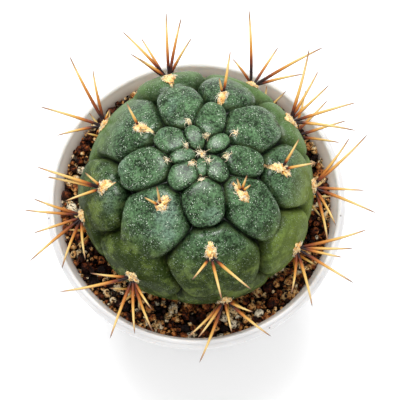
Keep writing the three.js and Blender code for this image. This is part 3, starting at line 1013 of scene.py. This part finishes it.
soil = dict(
    top=0.0695,
    bedDepth=0.0045,
    floor=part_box("soil")[0].z,
    outerTop=0.0424,
    outerBottom=0.0299,
    sides=96,
    rings=3,
    ringWidth=0.004,
)
grit = dict(
    seed=11,
    inner=0.0235,
    tries=14,
    stones=1150,
    fines=1500,
    # the share of the stones in each range of radii
    radii=[(0.45, 0.0009, 0.0014), (0.40, 0.0014, 0.0020), (0.15, 0.0020, 0.0030)],
    fineRadius=(0.00035, 0.00075),
    # how far above the soil's level stones may reach, and how much further fine ones may
    heap=0.0012,
    fineHeap=0.0006,
    # how closely stones nest, how far they stay off the pot's wall, and how many radii off the plant
    nesting=0.93,
    wallGap=0.0003,
    plantGap=1.15,
    # the worn stones that are copied: how many for the stones and for the fine ones, and their form
    stoneModels=7,
    fineModels=4,
    lumps=[(1.3, 0.46), (2.9, 0.26)],
    stretch=(1.12, 0.98, 0.86),
    # the middle and the spread of the stones' tones
    tone=(0.46, 0.28),
)
gritLook = dict(
    stops=[
        (0.0, (0.010, 0.005, 0.005)),
        (0.24, (0.035, 0.009, 0.005)),
        (0.40, (0.15, 0.034, 0.010)),
        (0.54, (0.42, 0.13, 0.034)),
        (0.68, (0.70, 0.34, 0.105)),
        (0.82, (0.90, 0.62, 0.29)),
        (1.0, (0.95, 0.84, 0.62)),
    ],
    # the dark of the stones' pits, also the painted shade in the gaps between them
    pitAndGapShade=(0.005, 0.0015, 0.001),
    patchScale=420,
    pitScale=1000,
    roughScale=3000,
    # painted shade: how far under the soil's level the stones are fully darkened, and how far under it they
    # keep their own colour
    shadedBelow=(0.0028, 0.0004),
)
# the soil under the grit: its dark colour is partly painted shade for the gaps between the stones
bedLook = dict(
    dark=(0.010, 0.006, 0.004),
    light=(0.05, 0.024, 0.013),
    crumbScale=700,
)


def gritMaterial():
    board = Board("grit")
    drawn = board.attribute("draw")
    patches = board.noise(gritLook["patchScale"], 2, 0.5)
    pits = board.noise(gritLook["pitScale"], 3, 0.65)
    rough = board.noise(gritLook["roughScale"], 2, 0.6)
    tone = (drawn + 1.1 * (patches - 0.5) + 0.7 * (pits - 0.5) + 0.25 * (rough - 0.5)).clipped()
    colour = board.ramp(tone, gritLook["stops"])
    colour = board.mix(colour, gritLook["pitAndGapShade"], 0.95 * (1 - pits.above(0.42, 0.50)))
    # painted shade: the stones that lie deeper, down in the gaps, are darkened
    shadedBelow, litAbove = [soil["top"] - depth for depth in gritLook["shadedBelow"]]
    colour = board.mix(colour, gritLook["pitAndGapShade"], 0.9 * (1 - board.along("Z").above(shadedBelow, litAbove)))
    return board.finish(
        Base_Color=colour,
        Roughness=0.18 + 0.28 * rough,
        Specular_IOR_Level=0.16,
        Normal=board.bump(pits + 0.4 * rough, 1.0, 0.0011),
    )


def bedMaterial():
    board = Board("soilBed")
    crumbs = board.noise(bedLook["crumbScale"], 4, 0.65)
    colour = board.mix(bedLook["dark"], bedLook["light"], crumbs)
    return board.finish(Base_Color=colour, Roughness=0.95, Normal=board.bump(crumbs, 1.0, 0.001))


def makeBed():
    # the soil under the grit, drawn down inside the pot from a ringed disc
    level = soil["top"] - soil["bedDepth"]
    bed = startDisc("soil_bed", soil["sides"], soil["outerTop"] - 0.0004, level)
    for _ in range(soil["rings"]):
        bpy.ops.mesh.inset(thickness=soil["ringWidth"])
    bpy.ops.mesh.select_all(action="SELECT")
    shrink = soil["outerBottom"] / soil["outerTop"]
    drawOn(soil["floor"] - level, shrink, center_override=(0, 0, soil["floor"]))
    finishEditing()
    dress(bed, bedMaterial(), ["soil"])


def clearOfPlant(x, y, z, radius):
    # how far a stone stands off the plant's body, taken as a smooth globe
    own = plantMatrix.inverted() @ Vector((x, y, z))
    own.z *= plant["radius"] / plant["halfHeight"]
    return own.length - plant["radius"] - radius * grit["plantGap"]


def drawSizes():
    sizes = []
    for _ in range(grit["stones"]):
        pick = random.random()
        for share, low, high in grit["radii"]:
            if pick < share:
                sizes.append(random.uniform(low, high))
                break
            pick -= share
    return sizes + [random.uniform(*grit["fineRadius"]) for _ in range(grit["fines"])]


def dropStones():
    # every stone is let fall in the lowest of a few places, on the stones already there
    random.seed(grit["seed"])
    bedTop = soil["top"] - soil["bedDepth"]
    spots = np.empty((0, 3))
    radii = np.empty(0)
    placed = []
    for number, radius in enumerate(drawSizes()):
        best = None
        fine = number >= grit["stones"]
        most = soil["top"] + grit["heap"] + (grit["fineHeap"] if fine else 0)
        outer = soil["outerTop"] - radius - grit["wallGap"]
        for _ in range(grit["tries"]):
            heading = random.uniform(0, 2 * math.pi)
            reach = math.sqrt(random.uniform(grit["inner"] ** 2, outer**2))
            x, y = reach * math.cos(heading), reach * math.sin(heading)
            z = bedTop + radius * 0.5
            gaps = (spots[:, 0] - x) ** 2 + (spots[:, 1] - y) ** 2
            touching = (radii + radius) * grit["nesting"]
            near = gaps < touching**2
            if near.any():
                z = max(z, (spots[near, 2] + np.sqrt(touching[near] ** 2 - gaps[near])).max())
            if z + radius > most or clearOfPlant(x, y, z, radius) < 0:
                continue
            if best is None or z < best[2]:
                best = (x, y, z)
        if best is None:
            continue
        spots = np.vstack([spots, best])
        radii = np.append(radii, radius)
        placed.append((*best, radius, fine))
    return placed


def modelStones(subdivisions, count):
    # a few worn stones, from which all the others are copied
    models = []
    for number in range(count):
        bpy.ops.mesh.primitive_ico_sphere_add(subdivisions=subdivisions, radius=1)
        stone = takeNew("stone")
        unit = places(stone)
        lumps = lumpsOn(unit, grit["lumps"], Vector((number * 5.3, 1.7, 2.9)))
        movePlaces(stone, unit * (1 + lumps)[:, None] * grit["stretch"])
        models.append((places(stone), facesOf(stone)))
        bpy.data.objects.remove(stone)
    return models


def makeGrit():
    placed = dropStones()
    print("stones placed:", len(placed))
    material = gritMaterial()
    coarse = modelStones(2, grit["stoneModels"])
    small = modelStones(1, grit["fineModels"])
    random.seed(grit["seed"] + 1)
    for name, wanted, models in (("grit_stones", False, coarse), ("grit_fines", True, small)):
        parts, drawn = [], []
        for x, y, z, radius, fine in placed:
            shape, faces = random.choice(models)
            axis = Vector([random.gauss(0, 1) for _ in range(3)])
            turn = np.array(Quaternion(axis.normalized(), random.uniform(0, 2 * math.pi)).to_matrix())
            tone = min(max(random.gauss(*grit["tone"]), 0), 1)
            if fine == wanted:
                parts.append((shape * radius @ turn.T + (x, y, z), faces))
                drawn.append(np.full(len(shape), tone))
        piece = joinCopies(name, parts, dict(draw=drawn))
        smooth(piece)
        dress(piece, material, ["soil"])


makeBed()
makeGrit()
print("the soil and the grit are in the pot")


# Pot

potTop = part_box("pot")[1]
pot = dict(
    height=potTop.z,
    rim=potTop.x,
    lip=0.0046,
    # how far in from the rim and down from its top the lip's points lie, in millimetres
    lipPoints=[
        (0.5, 4.4), (0.1, 4.1), (0, 3.6), (0, 1.8), (0.2, 1.4), (0.6, 1.18), (0.9, 1.0), (1.0, 0.6),
        (1.2, 0.2), (1.6, 0), (2.0, 0.2), (2.3, 0.8), (2.5, 1.6), (2.8, 3.0),
    ],
    wallTop=0.0433,
    base=0.031,
    wall=0.0019,
    floorTop=0.0034,
    foot=0.0014,
    # the raised ring of the floor that holds the drain holes lies between these radii
    ring=(0.012, 0.027),
    holes=6,
    holeRadius=0.0024,
    holeCircle=0.0195,
    segments=160,
)
potLook = dict(
    white=(0.64, 0.635, 0.635),
    grey=(0.60, 0.595, 0.60),
    # the inner wall, painted paler towards the rim than the outside is, to stand in for the light it gets,
    # and stained by the soil up to a height
    inner=(0.86, 0.83, 0.81),
    stain=(0.36, 0.28, 0.22),
    stainTop=(0.069, 0.0735),
    # dark specks round the rim, one in some of the cells
    speck=(0.06, 0.045, 0.035),
    speckFrom=(0.069, 0.073),
    speckScale=230,
    cloudScale=38,
    fineScale=420,
)


def potMaterial():
    look = potLook
    board = Board("potPlastic")
    height = board.along("Z")
    cloud = board.noise(look["cloudScale"], 4, 0.6)
    fine = board.noise(look["fineScale"], 3, 0.6)
    colour = board.mix(look["white"], look["grey"], cloud.above(0.35, 0.65))
    flat = board.node("ShaderNodeVectorMath", dict(operation="MULTIPLY"), [board.place(), (1, 1, 0)])
    fromAxis = board.node("ShaderNodeVectorMath", dict(operation="LENGTH"), [flat], out=1)
    # the inner wall lies within the line of the outer one
    slope = (pot["wallTop"] - pot["base"]) / (pot["height"] - pot["lip"])
    inside = 1 - (fromAxis - (height * slope + pot["base"])).above(-0.0011, -0.0005)
    inside = inside * height.above(0.004, 0.008)
    # painted light: the inner wall is made paler than the rest of the pot
    colour = board.mix(colour, look["inner"], inside)
    stained = 0.70 * (1 - height.above(*look["stainTop"])) * inside * (0.3 + fine)
    colour = board.mix(colour, look["stain"], stained.clipped())
    dots = 1 - board.cells(look["speckScale"]).above(0.05, 0.085)
    chosen = board.cellDraw(look["speckScale"]).above(0.80, 0.84)
    specks = dots * chosen * height.above(*look["speckFrom"])
    colour = board.mix(colour, look["speck"], 0.7 * specks)
    return board.finish(
        Base_Color=colour,
        Roughness=0.30 + 0.16 * cloud + 0.3 * specks,
        Normal=board.bump(cloud + 0.3 * fine, 0.05, 0.0003),
        Specular_IOR_Level=0.5,
        Subsurface_Weight=0.6,
        Subsurface_Radius=(0.0034, 0.0030, 0.0027),
        Subsurface_Scale=1.0,
    )


def potProfile():
    # radii and heights, from the underside round the rim to the floor inside
    base, foot, wall = pot["base"], pot["foot"], pot["wall"]
    inner, outer = pot["ring"]
    lipFoot = pot["height"] - pot["lip"]
    outside = [
        (inner, 0), (inner + 0.0008, 0.0002), (inner + 0.0012, foot),
        (outer - 0.0012, foot), (outer - 0.0008, 0.0002), (outer, 0),
        (base - 0.0012, 0), (base - 0.0003, 0.0004), (base, 0.0012), (pot["wallTop"], lipFoot),
    ]
    lip = [(pot["rim"] - inwards * mm, pot["height"] - down * mm) for inwards, down in pot["lipPoints"]]
    inside = [
        (pot["wallTop"] - wall, lipFoot), (base + 0.0009 - wall, pot["floorTop"] + 0.001),
        (base - 0.0002 - wall, pot["floorTop"]),
    ]
    return outside + lip + inside


def makePot():
    # turned from a disc: each step draws its edge on to the next radius and height
    profile = potProfile()
    radius, height = profile[0]
    shell = startDisc("pot_shell", pot["segments"], radius, height)
    for newRadius, newHeight in profile[1:]:
        drawOn(newHeight - height, newRadius / radius, center_override=(0, 0, newHeight))
        radius, height = newRadius, newHeight
    finishEditing()
    drillDrains(shell)
    dress(shell, potMaterial(), ["pot"])
    smooth(shell, 40)


def drillDrains(shell):
    for number in range(pot["holes"]):
        heading = 2 * math.pi * (number + 0.5) / pot["holes"]
        middle = (pot["holeCircle"] * math.cos(heading), pot["holeCircle"] * math.sin(heading), 0.002)
        bpy.ops.mesh.primitive_cylinder_add(vertices=32, radius=pot["holeRadius"], depth=0.008,
                                            location=middle)
        drill = takeNew("drill")
        makeActive(shell)
        cut = shell.modifiers.new("Boolean", "BOOLEAN")
        cut.operation = "DIFFERENCE"
        cut.solver = "EXACT"
        cut.object = drill
        bpy.ops.object.modifier_apply(modifier=cut.name)
        bpy.data.objects.remove(drill)


makePot()
print("the pot is turned and drilled")
